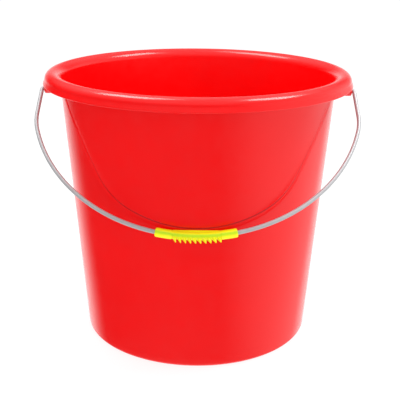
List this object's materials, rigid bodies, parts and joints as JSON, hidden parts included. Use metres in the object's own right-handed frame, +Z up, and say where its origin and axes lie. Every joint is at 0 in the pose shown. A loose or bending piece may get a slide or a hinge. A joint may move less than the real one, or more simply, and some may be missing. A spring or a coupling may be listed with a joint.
{
  "type": "bucket",
  "caption": "Tapered plastic bucket with a rolled rim, a swinging steel wire bail and a ribbed plastic hand grip.",
  "frame": {"origin": "centre of the base, on the surface that the bucket stands on", "axes": "+Z up, +X through the right-hand ear along the hinge axis, -Y the side on which the bail rests"},
  "size_m": [0.3132, 0.3, 0.264],
  "materials": {
    "red_plastic": "moulded polypropylene, glossy",
    "steel_wire": "bright drawn steel wire, zinc plated",
    "yellow_plastic": "moulded soft polyethylene, slightly translucent"
  },
  "bodies": {
    "body": {"bucket_body": "red_plastic"},
    "bail": {"bail_wire": "steel_wire", "hand_grip": "yellow_plastic"}
  },
  "joints": [
    {"name": "bail_hinge", "type": "hinge", "parent": "body", "child": "bail", "pos_m": [0, 0, 0.245], "axis": [-1, 0, 0], "range_deg": [0, 257.5]}
  ]
}
